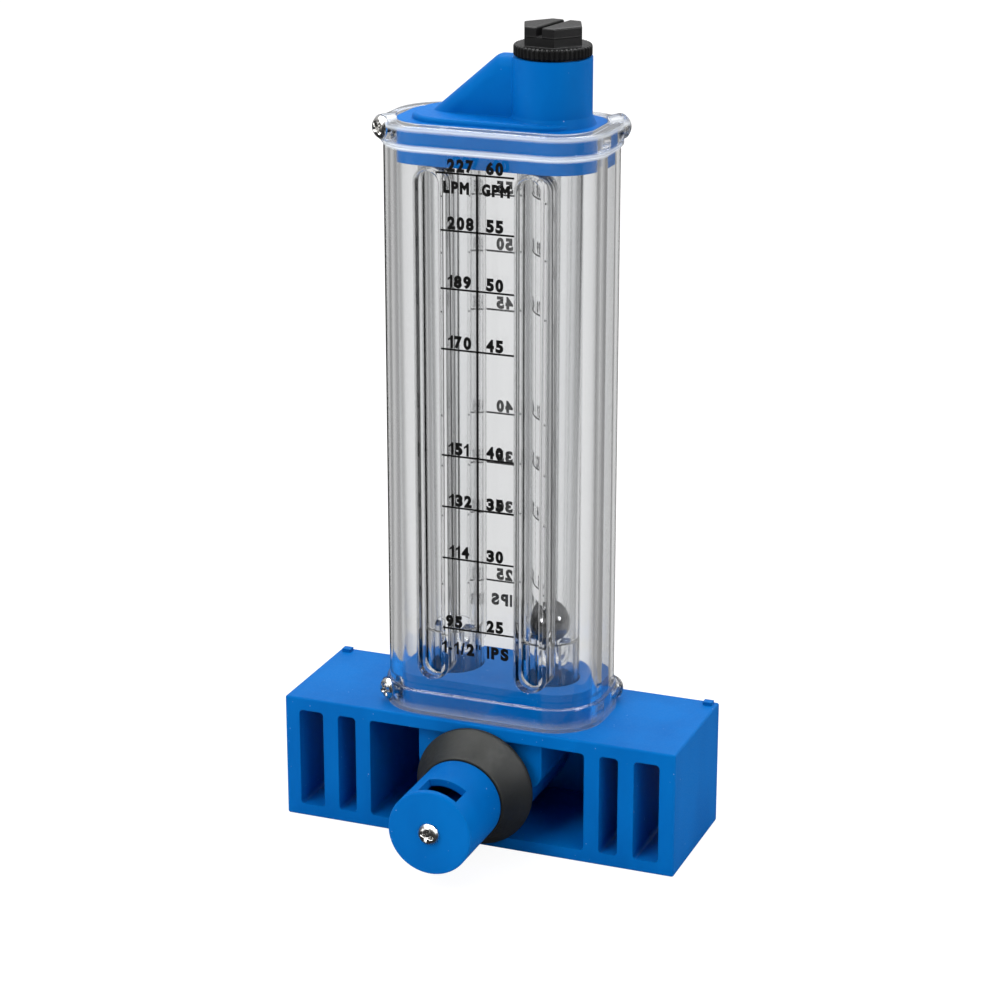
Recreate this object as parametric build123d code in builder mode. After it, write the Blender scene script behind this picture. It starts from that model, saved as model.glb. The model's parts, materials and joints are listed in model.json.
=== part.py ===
from build123d import *
from math import cos, radians, sin, sqrt
import os

# Saddle-mount float-ball flow meter for an upright pipe, in millimetres.
# The base stands on Z = 0, the probe points along -Y into the pipe, and the meter tubes rise along +Z.
# Water enters the probe's lower port, lifts the ball in the right-hand tube, crosses over in the
# top manifold, comes down the left-hand tube and leaves by the probe's upper port.

# Saddle block
base_width = 101.6
base_depth = 34.9
base_height = 31.75
base_wall = 3.2
base_edge_radius = 0.6
end_wall = 3.9
outer_slot_width = 6.4
slot_rib = 4.0
inner_slot_width = 4.7
cavity_rib = 3.9
back_wall = 3.2
slot_corner_radius = 1.0
nub_width = 2.3
nub_depth = 2.0
nub_height = 0.8

# Passage block behind the pipe gasket
block_half_width = 16.0
block_recess = 2.85
block_bottom = 16.0
block_corner_radius = 3.8
socket_wall = 2.5
socket_depth = 6.0
socket_clearance = 0.05
channel_back = 5.0
passage_radius = 2.4
passage_inset = 4.5

# Probe
probe_radius = 10.45
probe_root_step = 0.4
probe_reach = 29.5
probe_wall = 1.75
probe_end_thickness = 1.7
probe_end_edge = 0.5
probe_web = 2.0
probe_web_angle = 45.0
probe_core_radius = 3.2
port_centre_angle = 81.0
port_half_angle = 27.5
port_length = 6.5
probe_seal_thickness = 1.0

# Pipe gasket
gasket_rim_radius = 15.0
gasket_rim_width = 1.1
gasket_nose_wall = 0.85
gasket_length = 9.75
gasket_clearance = 0.05
gasket_seat_gap = 0.3

# Clear meter body
body_width = 54.6
body_depth = 31.0
body_corner_radius = 12.0
body_height = 144.8
body_wall = 3.0
lower_flange_height = 6.0
upper_flange_height = 5.4
flange_overhang = 0.7
flange_edge_radius = 0.5
tube_end_gap = 4.05
tube_radius = 7.75
bore_bottom_radius = 5.5
bore_top_radius = 6.2
groove_width = 5.9
groove_depth = 4.0
groove_wall = 1.0
groove_end_gap = 0.7
web_end_gap = 0.1

# Spigot and plug that close the body's two ends, with a pocket and a seal for each tube end
spigot_height = 8.75
plug_height = 9.4
spigot_clearance = 0.15
pocket_depth = 7.15
pocket_clearance = 0.2
seal_thickness = 1.6
seal_clearance = 0.05

# Float ball and the two-post stops that hold it up at rest
ball_radius = 5.16
ball_rest_gap = 0.3
stop_socket_wall = 1.0
stop_clearance = 0.2
stop_height = 17.1
stop_base_height = 2.2
stop_hole_radius = 2.8
stop_post_reach = 2.9
stop_post_width = 3.4
stop_top_gap = 0.3

# Top manifold
plate_end_margin = 3.35
plate_side_margin = 1.35
plate_corner_radius = 9.0
plate_height = 1.3
plate_edge_radius = 0.9
tower_radius = 9.2
tower_height = 14.05
tower_flare = 0.9
tower_bore_radius = 5.9
gusset_half_width = 3.65
gusset_foot_margin = 2.6
gusset_shoulder = 0.3
gusset_shoulder_radius = 3.0
gusset_ridge_radius = 3.4
crossover_radius = 2.1
crossover_start = 1.1
crossover_end = 9.1

# Clean-out cap, its stem and its seal
cap_flange_radius = 9.05
cap_flange_thickness = 2.6
cap_flange_gap = 0.3
cap_seal_thickness = 1.2
cap_seal_width = 1.3
cap_seal_clearance = 0.06
cap_seal_side_gap = 0.3
cap_neck_radius = 6.4
cap_thread_radius = 6.6
cap_thread_length = 8.0
cap_thread_clearance = 0.08
cap_thread_end_gap = 0.5
knurl_count = 48
knurl_radius = 0.32
hex_across_flats = 13.0
hex_height = 4.5
hex_angle = -8.7
hex_edge = 0.4
slot_width = 1.5
slot_depth = 2.2
slot_angle = 81.3
stem_root_radius = 3.2
stem_tip_radius = 2.4
stem_drop = 0.1

# Pan-head screws
screw_radius = 1.42
screw_length = 7.9
probe_screw_length = 44.4
screw_clearance = 0.05
screw_hole_end = 0.4
screw_head_radius = 2.7
screw_head_height = 1.7
screw_head_round = 1.2
screw_recess_span = 3.0
screw_recess_width = 0.75
screw_recess_depth = 0.9
screw_tilt = 25.0
screw_seat_angle = 35.0
screw_seat_rise = 0.5
screw_boss_radius = 3.0
screw_boss_length = 6.0
screw_spot_radius = 3.1
lower_screw_rise = 3.15
upper_screw_drop = 1.8

# Sizes and levels that follow from the ones above
spigot_top = base_height + spigot_height
body_top = base_height + body_height
plug_bottom = body_top - plug_height
lower_pocket_floor = spigot_top - pocket_depth
upper_pocket_floor = plug_bottom + pocket_depth
tube_bottom = lower_pocket_floor + seal_thickness
tube_top = upper_pocket_floor - seal_thickness
inner_width = body_width - 2 * body_wall
inner_depth = body_depth - 2 * body_wall
inner_corner = body_corner_radius - body_wall
bore_offset = inner_width / 2 - tube_end_gap - tube_radius
passage_offset = bore_offset - passage_inset
plug_width = inner_width - 2 * spigot_clearance
plug_depth = inner_depth - 2 * spigot_clearance
plug_corner = inner_corner - spigot_clearance
plate_width = plug_width - 2 * plate_end_margin
plate_depth = plug_depth - 2 * plate_side_margin
gusset_foot = plate_width / 2 - gusset_foot_margin
pocket_radius = tube_radius + pocket_clearance
groove_floor = body_depth / 2 - groove_depth
groove_bottom = spigot_top + groove_end_gap
groove_top = plug_bottom - groove_end_gap
stop_socket_radius = tube_radius - stop_socket_wall
stop_radius = stop_socket_radius - stop_clearance
stop_top = lower_pocket_floor + stop_height
bore_bottom = stop_top + stop_top_gap
ball_level = stop_top + sqrt(ball_radius**2 - stop_post_reach**2) + ball_rest_gap
plate_top = body_top + plate_height
tower_top = plate_top + tower_height
cap_bottom = tower_top + cap_flange_gap
cap_seal_floor = cap_bottom - cap_seal_thickness
cap_seal_inner = cap_neck_radius + cap_seal_clearance
cap_seal_outer = cap_seal_inner + cap_seal_width
stem_tip = upper_pocket_floor + stem_drop
axis_height = base_height / 2
front = base_depth / 2
open_height = base_height - 2 * base_wall
outer_slot_x = base_width / 2 - end_wall - outer_slot_width / 2
inner_slot_x = outer_slot_x - outer_slot_width / 2 - slot_rib - inner_slot_width / 2
cavity_width = 2 * (inner_slot_x - inner_slot_width / 2 - cavity_rib)
block_front = front - block_recess
socket_floor = block_front - socket_depth
probe_front = front + probe_reach
probe_root = socket_floor + probe_seal_thickness
channel_radius = probe_radius - probe_wall
probe_root_radius = probe_radius - probe_root_step
probe_shoulder = front + gasket_length + gasket_seat_gap
seat_reach = body_corner_radius + screw_seat_rise
seat_x = body_width / 2 - body_corner_radius + seat_reach * cos(radians(screw_seat_angle))
seat_y = body_depth / 2 - body_corner_radius + seat_reach * sin(radians(screw_seat_angle))

os.makedirs("parts", exist_ok=True)


def screw_seat(side, level):
    """Plane under a body screw's head, with its normal pointing out along the screw."""
    tilt = radians(screw_tilt)
    outward = (side * sin(tilt), side * cos(tilt), 0)
    return Plane(origin=(side * seat_x, side * seat_y, level), x_dir=(0, 0, 1), z_dir=outward)


lower_seats = {
    "lower_front_screw": screw_seat(-1, base_height + lower_screw_rise),
    "lower_rear_screw": screw_seat(1, base_height + lower_screw_rise),
}
upper_seats = {
    "upper_front_screw": screw_seat(-1, body_top - upper_screw_drop),
    "upper_rear_screw": screw_seat(1, body_top - upper_screw_drop),
}
tip_plane = Plane.XZ.offset(probe_front)
root_plane = Plane.XZ.offset(probe_root)
bores = (-bore_offset, bore_offset)

# Saddle block and spigot, one moulding
with BuildPart() as saddle_mount:
    with BuildSketch():
        Rectangle(base_width, base_depth)
    extrude(amount=base_height)
    fillet(saddle_mount.edges(), radius=base_edge_radius)
    with BuildSketch(Plane.XY.offset(base_height - base_edge_radius)):
        with Locations((0, front - nub_depth)):
            with GridLocations(base_width - 2 * nub_width, nub_depth, 2, 1):
                Rectangle(nub_width, nub_depth)
    extrude(amount=nub_height + base_edge_radius)
    # Clamp-band slots run right through, and the pipe side is one deep cavity
    with BuildSketch(Plane.XZ.offset(front)):
        for side in (-1, 1):
            with Locations((side * outer_slot_x, axis_height)):
                RectangleRounded(outer_slot_width, open_height, slot_corner_radius)
            with Locations((side * inner_slot_x, axis_height)):
                RectangleRounded(inner_slot_width, open_height, slot_corner_radius)
    extrude(amount=-base_depth, mode=Mode.SUBTRACT)
    with BuildSketch(Plane.XZ.offset(front)):
        with Locations((0, axis_height)):
            RectangleRounded(cavity_width, open_height, slot_corner_radius)
    extrude(amount=-(base_depth - back_wall), mode=Mode.SUBTRACT)
    # Passage block and the round socket for the probe
    block_height = base_height - base_wall / 2 - block_bottom
    with BuildSketch(Plane.XZ.offset(block_front)) as block_outline:
        with Locations((0, block_bottom + block_height / 2)):
            Rectangle(2 * block_half_width, block_height)
        fillet(block_outline.vertices().group_by(Axis.Y)[0], radius=block_corner_radius)
    extrude(amount=-(block_front + front - back_wall / 2))
    with BuildSketch(Plane.XZ.offset(block_front)):
        with Locations((0, axis_height)):
            Circle(probe_radius + socket_wall)
    extrude(amount=-(block_front + front - back_wall / 2))
    with BuildSketch(Plane.XZ.offset(block_front)):
        with Locations((0, axis_height)):
            Circle(probe_root_radius + socket_clearance)
    extrude(amount=-socket_depth, mode=Mode.SUBTRACT)
    with BuildSketch(Plane.XZ.offset(socket_floor)):
        with Locations((0, axis_height)):
            Circle(channel_radius)
            Rectangle(3 * channel_radius, probe_web, rotation=probe_web_angle, mode=Mode.SUBTRACT)
            Circle(probe_core_radius, mode=Mode.SUBTRACT)
    extrude(amount=-(socket_floor + channel_back), mode=Mode.SUBTRACT)
    with BuildSketch(tip_plane):
        with Locations((0, axis_height)):
            Circle(screw_radius + screw_clearance)
    extrude(amount=-(probe_screw_length + screw_hole_end), mode=Mode.SUBTRACT)
    # Spigot that enters the clear body, with a pocket for each tube end and a passage from each pocket
    with BuildSketch(Plane.XY.offset(base_height)):
        RectangleRounded(plug_width, plug_depth, plug_corner)
    extrude(amount=spigot_height)
    with BuildSketch(Plane.XY.offset(spigot_top)):
        for x in bores:
            with Locations((x, 0)):
                Circle(pocket_radius)
    extrude(amount=-pocket_depth, mode=Mode.SUBTRACT)
    with BuildSketch(Plane.XY.offset(axis_height)):
        for side in (-1, 1):
            with Locations((side * passage_offset, 0)):
                Circle(passage_radius)
    extrude(amount=lower_pocket_floor - axis_height, mode=Mode.SUBTRACT)
    for seat in lower_seats.values():
        with BuildSketch(seat):
            Circle(screw_radius + screw_clearance)
        extrude(amount=-(screw_length + screw_hole_end), mode=Mode.SUBTRACT)
saddle_mount.part.label = "saddle_mount"
export_step(saddle_mount.part, "parts/saddle_mount.step")

# Clear body: outer shell, two bore tubes and the webs behind the four grooves
with BuildPart() as meter_body:
    flange_width = body_width + 2 * flange_overhang
    flange_depth = body_depth + 2 * flange_overhang
    for level, height in ((base_height, lower_flange_height), (body_top, -upper_flange_height)):
        with BuildSketch(Plane.XY.offset(level)):
            RectangleRounded(flange_width, flange_depth, body_corner_radius + flange_overhang)
        extrude(amount=height)
    rims = meter_body.edges().group_by(Axis.Z)
    fillet(rims[2] + rims[3] + rims[5], radius=flange_edge_radius)
    with BuildSketch(Plane.XY.offset(base_height)):
        RectangleRounded(body_width, body_depth, body_corner_radius)
    extrude(amount=body_height)
    for seat in list(lower_seats.values()) + list(upper_seats.values()):
        with BuildSketch(seat):
            Circle(screw_boss_radius)
        extrude(amount=-screw_boss_length)
    with BuildSketch(Plane.XY.offset(base_height)):
        RectangleRounded(inner_width, inner_depth, inner_corner)
    extrude(amount=body_height + screw_boss_radius, mode=Mode.SUBTRACT)
    with BuildSketch(Plane.XZ):
        for x in bores:
            with Locations((x, (spigot_top + plug_bottom) / 2)):
                SlotOverall(plug_bottom - spigot_top - 2 * web_end_gap, groove_width + 2 * groove_wall, rotation=90)
    extrude(amount=(inner_depth + body_wall) / 2, both=True)
    with BuildSketch(Plane.XY.offset(tube_bottom)):
        for x in bores:
            with Locations((x, 0)):
                Circle(tube_radius)
    extrude(amount=tube_top - tube_bottom)
    # Bores widen towards the top, and each has a socket for its ball stop
    for x in bores:
        with Locations((x, 0, bore_bottom)):
            Cone(
                bore_bottom_radius,
                bore_top_radius,
                tube_top - bore_bottom,
                align=(Align.CENTER, Align.CENTER, Align.MIN),
                mode=Mode.SUBTRACT,
            )
    with BuildSketch(Plane.XY.offset(tube_bottom)):
        for x in bores:
            with Locations((x, 0)):
                Circle(stop_socket_radius)
    extrude(amount=bore_bottom - tube_bottom, mode=Mode.SUBTRACT)
    for face_plane in (Plane.XZ.offset(body_depth / 2), Plane.XZ.offset(-groove_floor)):
        with BuildSketch(face_plane):
            for x in bores:
                with Locations((x, (groove_bottom + groove_top) / 2)):
                    SlotOverall(groove_top - groove_bottom, groove_width, rotation=90)
        extrude(amount=-groove_depth, mode=Mode.SUBTRACT)
    for seat in list(lower_seats.values()) + list(upper_seats.values()):
        with BuildSketch(seat):
            Circle(screw_radius + screw_clearance)
        extrude(amount=-(screw_length + screw_hole_end), mode=Mode.SUBTRACT)
        with BuildSketch(seat):
            Circle(screw_spot_radius)
        extrude(amount=screw_boss_length, mode=Mode.SUBTRACT)
meter_body.part.label = "meter_body"
export_step(meter_body.part, "parts/meter_body.step")

# Top manifold: plug, cover plate, clean-out tower and the gusset over the crossover passage
with BuildPart() as top_manifold:
    with BuildSketch(Plane.XY.offset(body_top)):
        RectangleRounded(plate_width, plate_depth, plate_corner_radius)
    extrude(amount=plate_height)
    fillet(top_manifold.edges().group_by(Axis.Z)[-1], radius=plate_edge_radius)
    with BuildSketch(Plane.XZ) as gusset_outline:
        with BuildLine():
            Polyline(
                (bore_offset, body_top),
                (-gusset_foot, body_top),
                (-gusset_shoulder, tower_top),
                (bore_offset, tower_top),
                close=True,
            )
        make_face()
        fillet(gusset_outline.vertices().group_by(Axis.Y)[-1].sort_by(Axis.X)[0], radius=gusset_shoulder_radius)
    extrude(amount=gusset_half_width, both=True)
    ridge = top_manifold.edges().filter_by(
        lambda edge: abs(abs(edge.center().Y) - gusset_half_width) < 0.01
        and edge.center().Z > plate_top + 1
        and edge.center().X < bore_offset - 1
    )
    fillet(ridge, radius=gusset_ridge_radius)
    with BuildSketch(Plane.XY.offset(body_top)):
        with Locations((bore_offset, 0)):
            Circle(tower_radius)
    extrude(amount=tower_top - body_top)
    with Locations((bore_offset, 0, body_top)):
        Cone(
            tower_radius + tower_flare,
            tower_radius,
            plate_height + tower_flare,
            align=(Align.CENTER, Align.CENTER, Align.MIN),
        )
    with BuildSketch(Plane.XY.offset(plug_bottom)):
        RectangleRounded(plug_width, plug_depth, plug_corner)
    extrude(amount=plug_height)
    with BuildSketch(Plane.XY.offset(plug_bottom)):
        for x in bores:
            with Locations((x, 0)):
                Circle(pocket_radius)
    extrude(amount=pocket_depth, mode=Mode.SUBTRACT)
    # Tower bore, cap thread bore and seal recess, one above the other
    thread_floor = cap_seal_floor - cap_thread_length - cap_thread_end_gap
    with BuildSketch(Plane.XY.offset(upper_pocket_floor)):
        with Locations((bore_offset, 0)):
            Circle(tower_bore_radius)
    extrude(amount=tower_top - upper_pocket_floor, mode=Mode.SUBTRACT)
    with BuildSketch(Plane.XY.offset(thread_floor)):
        with Locations((bore_offset, 0)):
            Circle(cap_thread_radius + cap_thread_clearance)
    extrude(amount=tower_top - thread_floor, mode=Mode.SUBTRACT)
    with BuildSketch(Plane.XY.offset(cap_seal_floor)):
        with Locations((bore_offset, 0)):
            Circle(cap_seal_outer + cap_seal_side_gap)
    extrude(amount=tower_top - cap_seal_floor, mode=Mode.SUBTRACT)
    # Crossover passage from the left-hand pocket up to the tower bore
    rise = crossover_end - crossover_start
    run = 2 * bore_offset
    passage_length = sqrt(rise**2 + run**2)
    passage_start = (-bore_offset, 0, upper_pocket_floor + crossover_start)
    with BuildSketch(Plane(origin=passage_start, x_dir=(0, 1, 0), z_dir=(run, 0, rise))):
        Circle(crossover_radius)
    extrude(amount=passage_length, mode=Mode.SUBTRACT)
    with BuildSketch(Plane.XY.offset(upper_pocket_floor)):
        with Locations((-bore_offset, 0)):
            Circle(crossover_radius)
    extrude(amount=crossover_start, mode=Mode.SUBTRACT)
    for seat in upper_seats.values():
        with BuildSketch(seat):
            Circle(screw_radius + screw_clearance)
        extrude(amount=-(screw_length + screw_hole_end), mode=Mode.SUBTRACT)
top_manifold.part.label = "top_manifold"
export_step(top_manifold.part, "parts/top_manifold.step")

# Clean-out cap: knurled flange, hexagon head with a driver slot, threaded plug and ball-stop stem
with BuildPart() as cleanout_cap:
    with BuildSketch(Plane.XY.offset(cap_bottom)):
        with Locations((bore_offset, 0)):
            Circle(cap_flange_radius)
            with PolarLocations(cap_flange_radius, knurl_count):
                Circle(knurl_radius, mode=Mode.SUBTRACT)
    extrude(amount=cap_flange_thickness)
    with BuildSketch(Plane.XY.offset(cap_bottom + cap_flange_thickness)):
        with Locations((bore_offset, 0)):
            RegularPolygon(hex_across_flats / 2, 6, major_radius=False, rotation=hex_angle)
    extrude(amount=hex_height)
    chamfer(cleanout_cap.edges().group_by(Axis.Z)[-1], length=hex_edge)
    with BuildSketch(Plane.XY.offset(cap_bottom + cap_flange_thickness + hex_height)):
        with Locations((bore_offset, 0)):
            Rectangle(2 * hex_across_flats, slot_width, rotation=slot_angle)
    extrude(amount=-slot_depth, mode=Mode.SUBTRACT)
    with BuildSketch(Plane.XY.offset(cap_bottom)):
        with Locations((bore_offset, 0)):
            Circle(cap_neck_radius)
    extrude(amount=-cap_seal_thickness)
    with BuildSketch(Plane.XY.offset(cap_seal_floor)):
        with Locations((bore_offset, 0)):
            Circle(cap_thread_radius)
    extrude(amount=-cap_thread_length)
    with Locations((bore_offset, 0, stem_tip)):
        Cone(
            stem_tip_radius,
            stem_root_radius,
            cap_seal_floor - cap_thread_length - stem_tip,
            align=(Align.CENTER, Align.CENTER, Align.MIN),
        )
cleanout_cap.part.label = "cleanout_cap"
export_step(cleanout_cap.part, "parts/cleanout_cap.step")

# Cap seal, a flat ring round the cap's neck
with BuildPart() as cleanout_seal:
    with BuildSketch(Plane.XY.offset(cap_seal_floor)):
        with Locations((bore_offset, 0)):
            Circle(cap_seal_outer)
            Circle(cap_seal_inner, mode=Mode.SUBTRACT)
    extrude(amount=cap_seal_thickness)
cleanout_seal.part.label = "cleanout_seal"
export_step(cleanout_seal.part, "parts/cleanout_seal.step")

# Steel float ball, drawn at its rest just above the stop's posts
with BuildPart() as float_ball:
    with Locations((bore_offset, 0, ball_level)):
        Sphere(ball_radius)
float_ball.part.label = "float_ball"
export_step(float_ball.part, "parts/float_ball.step")

# Ball stops: two posts on a ring that stands on the pocket floor
for stop_name, x in (("return_ball_stop", -bore_offset), ("inlet_ball_stop", bore_offset)):
    with BuildPart() as ball_stop:
        with BuildSketch(Plane.XY.offset(lower_pocket_floor)):
            with Locations((x, 0)):
                Circle(stop_radius)
                Circle(stop_hole_radius, mode=Mode.SUBTRACT)
        extrude(amount=stop_base_height)
        with BuildSketch(Plane.XY.offset(lower_pocket_floor + stop_base_height)):
            with Locations((x, 0)):
                Circle(stop_radius)
                Rectangle(2 * stop_radius, stop_post_width, mode=Mode.INTERSECT)
                Rectangle(2 * stop_post_reach, stop_post_width, mode=Mode.SUBTRACT)
        extrude(amount=stop_height - stop_base_height)
    ball_stop.part.label = stop_name
    export_step(ball_stop.part, f"parts/{stop_name}.step")

# Tube seals, one at each end of each tube
tube_seals = (
    ("lower_return_seal", -bore_offset, lower_pocket_floor, stop_radius + stop_clearance),
    ("lower_inlet_seal", bore_offset, lower_pocket_floor, stop_radius + stop_clearance),
    ("upper_return_seal", -bore_offset, tube_top, bore_top_radius + stop_clearance),
    ("upper_inlet_seal", bore_offset, tube_top, bore_top_radius + stop_clearance),
)
for seal_name, x, level, inner_radius in tube_seals:
    with BuildPart() as tube_seal:
        with BuildSketch(Plane.XY.offset(level)):
            with Locations((x, 0)):
                Circle(pocket_radius - seal_clearance)
                Circle(inner_radius, mode=Mode.SUBTRACT)
        extrude(amount=seal_thickness)
    tube_seal.part.label = seal_name
    export_step(tube_seal.part, f"parts/{seal_name}.step")

# Probe: closed tip, a port above and a port below, two channels and a core for its long screw
with BuildPart() as probe_tube:
    with BuildSketch(tip_plane):
        with Locations((0, axis_height)):
            Circle(probe_radius)
    extrude(amount=-(probe_front - probe_root))
    fillet(probe_tube.edges().filter_by(GeomType.CIRCLE).sort_by(Axis.Y)[0], radius=probe_end_edge)
    # Thinner root, whose shoulder keeps the pipe gasket in place
    with BuildSketch(root_plane):
        with Locations((0, axis_height)):
            Circle(probe_radius + socket_wall)
            Circle(probe_root_radius, mode=Mode.SUBTRACT)
    extrude(amount=probe_shoulder - probe_root, mode=Mode.SUBTRACT)
    with BuildSketch(root_plane):
        with Locations((0, axis_height)):
            Circle(channel_radius)
            Rectangle(3 * channel_radius, probe_web, rotation=probe_web_angle, mode=Mode.SUBTRACT)
            Circle(probe_core_radius, mode=Mode.SUBTRACT)
    extrude(amount=probe_front - probe_root - probe_end_thickness, mode=Mode.SUBTRACT)
    port_sweep = 2 * port_half_angle
    for start in (port_centre_angle - port_half_angle, port_centre_angle - port_half_angle + 180):
        with BuildSketch(Plane.XZ.offset(probe_front - probe_end_thickness)):
            with BuildLine():
                outer = CenterArc((0, axis_height), probe_radius + probe_wall, start, port_sweep)
                inner = CenterArc((0, axis_height), channel_radius - probe_wall / 2, start, port_sweep)
                Line(outer @ 0, inner @ 0)
                Line(outer @ 1, inner @ 1)
            make_face()
        extrude(amount=-port_length, mode=Mode.SUBTRACT)
    with BuildSketch(tip_plane):
        with Locations((0, axis_height)):
            Circle(screw_radius + screw_clearance)
    extrude(amount=-(probe_front - probe_root), mode=Mode.SUBTRACT)
probe_tube.part.label = "probe_tube"
export_step(probe_tube.part, "parts/probe_tube.step")

# Probe seal between the probe's root and the socket floor
with BuildPart() as probe_seal:
    with BuildSketch(Plane.XZ.offset(socket_floor)):
        with Locations((0, axis_height)):
            Circle(probe_root_radius)
            Circle(channel_radius, mode=Mode.SUBTRACT)
            Circle(channel_radius)
            Circle(screw_radius + screw_clearance, mode=Mode.SUBTRACT)
    extrude(amount=probe_seal_thickness)
    with BuildSketch(Plane.XZ.offset(socket_floor)):
        with Locations((0, axis_height)):
            Circle(channel_radius)
            Rectangle(3 * channel_radius, probe_web, rotation=probe_web_angle, mode=Mode.SUBTRACT)
            Circle(probe_core_radius, mode=Mode.SUBTRACT)
    extrude(amount=probe_seal_thickness, mode=Mode.SUBTRACT)
probe_seal.part.label = "probe_seal"
export_step(probe_seal.part, "parts/probe_seal.step")

# Pipe gasket, a rubber cone on the probe that seals the hole in the pipe
with BuildPart() as pipe_gasket:
    with BuildSketch(Plane.YZ):
        with BuildLine():
            bore = probe_root_radius + gasket_clearance
            Polyline(
                (-front, axis_height + bore),
                (-front, axis_height + gasket_rim_radius),
                (-front - gasket_rim_width, axis_height + gasket_rim_radius),
                (-front - gasket_length, axis_height + bore + gasket_nose_wall),
                (-front - gasket_length, axis_height + bore),
                close=True,
            )
        make_face()
    revolve(axis=Axis((0, 0, axis_height), (0, 1, 0)))
pipe_gasket.part.label = "pipe_gasket"
export_step(pipe_gasket.part, "parts/pipe_gasket.step")

# Five equal pan-head screws, four short ones in the body and a long one through the probe
screws = {
    **{screw_name: (seat, screw_length) for screw_name, seat in lower_seats.items()},
    **{screw_name: (seat, screw_length) for screw_name, seat in upper_seats.items()},
    "probe_screw": (tip_plane.shift_origin((0, -probe_front, axis_height)), probe_screw_length),
}
for screw_name, (seat, length) in screws.items():
    with BuildPart() as screw:
        with BuildSketch(seat):
            Circle(screw_head_radius)
        extrude(amount=screw_head_height)
        fillet(screw.edges().sort_by(Axis(seat.origin, seat.z_dir))[-1], radius=screw_head_round)
        with BuildSketch(seat):
            Circle(screw_radius)
        extrude(amount=-length)
        with BuildSketch(seat.offset(screw_head_height)):
            Rectangle(screw_recess_span, screw_recess_width)
            Rectangle(screw_recess_width, screw_recess_span)
        extrude(amount=-screw_recess_depth, mode=Mode.SUBTRACT)
    screw.part.label = screw_name
    export_step(screw.part, f"parts/{screw_name}.step")
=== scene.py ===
# %% [markdown]
# # A saddle-mount flow meter, dressed in Blender
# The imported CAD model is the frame: every size and place below is read from it or given in metres in
# the same frame. The base stands on Z = 0, the probe points along -Y and the meter tubes rise along +Z.

# %% Load the frame
import json
import math

import bmesh
import bpy
import numpy as np
from mathutils import Matrix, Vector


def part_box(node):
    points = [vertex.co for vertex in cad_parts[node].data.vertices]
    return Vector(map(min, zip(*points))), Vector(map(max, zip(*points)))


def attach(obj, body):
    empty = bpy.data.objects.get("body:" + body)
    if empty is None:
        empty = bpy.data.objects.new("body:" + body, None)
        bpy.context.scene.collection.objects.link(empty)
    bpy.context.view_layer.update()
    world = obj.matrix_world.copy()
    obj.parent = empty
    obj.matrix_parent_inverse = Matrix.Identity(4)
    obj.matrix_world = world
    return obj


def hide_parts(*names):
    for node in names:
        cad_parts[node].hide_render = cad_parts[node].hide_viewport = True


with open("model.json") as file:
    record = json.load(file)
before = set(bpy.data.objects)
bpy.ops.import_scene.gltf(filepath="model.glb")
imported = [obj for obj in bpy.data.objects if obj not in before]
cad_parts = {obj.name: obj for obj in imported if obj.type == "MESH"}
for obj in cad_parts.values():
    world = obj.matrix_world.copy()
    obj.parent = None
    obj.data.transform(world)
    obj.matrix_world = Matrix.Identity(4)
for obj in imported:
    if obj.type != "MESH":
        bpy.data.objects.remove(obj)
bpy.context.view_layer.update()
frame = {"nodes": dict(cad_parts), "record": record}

scene = bpy.context.scene
MM = 0.001
BORE_X = 0.0125        # the ball's bore and the cap, from the middle plane
AXIS_Z = 0.015875      # the probe's height, half the base

# %% [markdown]
# ## Helpers
# Each piece is one mesh made from whole numpy arrays. Grids close on themselves where the surface
# does, so no seam is left open and the normals point outwards.

# %% Mesh helpers
def add_mesh(name, verts, faces, material, body, smooth=True, node=()):
    """One mesh object from an array of points and a list of faces, riding on a CAD body."""
    mesh = bpy.data.meshes.new(name)
    mesh.from_pydata(np.asarray(verts, float).tolist(), [], [tuple(int(i) for i in f) for f in faces])
    mesh.polygons.foreach_set("use_smooth", np.full(len(mesh.polygons), smooth))
    mesh.update()
    obj = bpy.data.objects.new(name, mesh)
    scene.collection.objects.link(obj)
    obj.data.materials.append(material)
    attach(obj, body)
    if node:
        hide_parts(*node)
    print("made", name, len(verts), "points")
    return obj


def grid_faces(rows, cols, closed=True):
    """Quads between neighbouring rows of a grid, joined end to start along each row if closed."""
    last = cols if closed else cols - 1
    r, c = np.meshgrid(np.arange(rows - 1), np.arange(last), indexing="ij")
    n = (c + 1) % cols
    quads = np.stack([r * cols + c, r * cols + n, (r + 1) * cols + n, (r + 1) * cols + c], axis=-1)
    return quads.reshape(-1, 4).tolist()


def full_turn(steps):
    """Angles of one turn about Z."""
    return np.linspace(0, 2 * np.pi, steps, endpoint=False)


def ring(radius, level, turn):
    """Points round Z at a level; the radius may change with the turn."""
    return np.stack([radius * np.cos(turn), radius * np.sin(turn), np.full(len(turn), level)], axis=-1)


def lathe(profile, steps=96):
    """Points of a profile (radius, height) turned about Z, with a quad grid. A pole is a ring of radius 0."""
    turn = full_turn(steps)
    return np.vstack([ring(radius, level, turn) for radius, level in profile]), grid_faces(len(profile), steps)


def joined(bits):
    """Several (points, faces) bits as one."""
    points, faces, count = [], [], 0
    for verts, shapes in bits:
        points.append(verts)
        faces += [tuple(i + count for i in f) for f in shapes]
        count += len(verts)
    return np.vstack(points), faces


def weld(obj, distance=1e-6):
    """Joins points that fall together, such as a pole's ring, and makes the normals face out."""
    work = bmesh.new()
    work.from_mesh(obj.data)
    bmesh.ops.remove_doubles(work, verts=work.verts, dist=distance)
    bmesh.ops.recalc_face_normals(work, faces=work.faces)
    work.to_mesh(obj.data)
    work.free()


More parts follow.
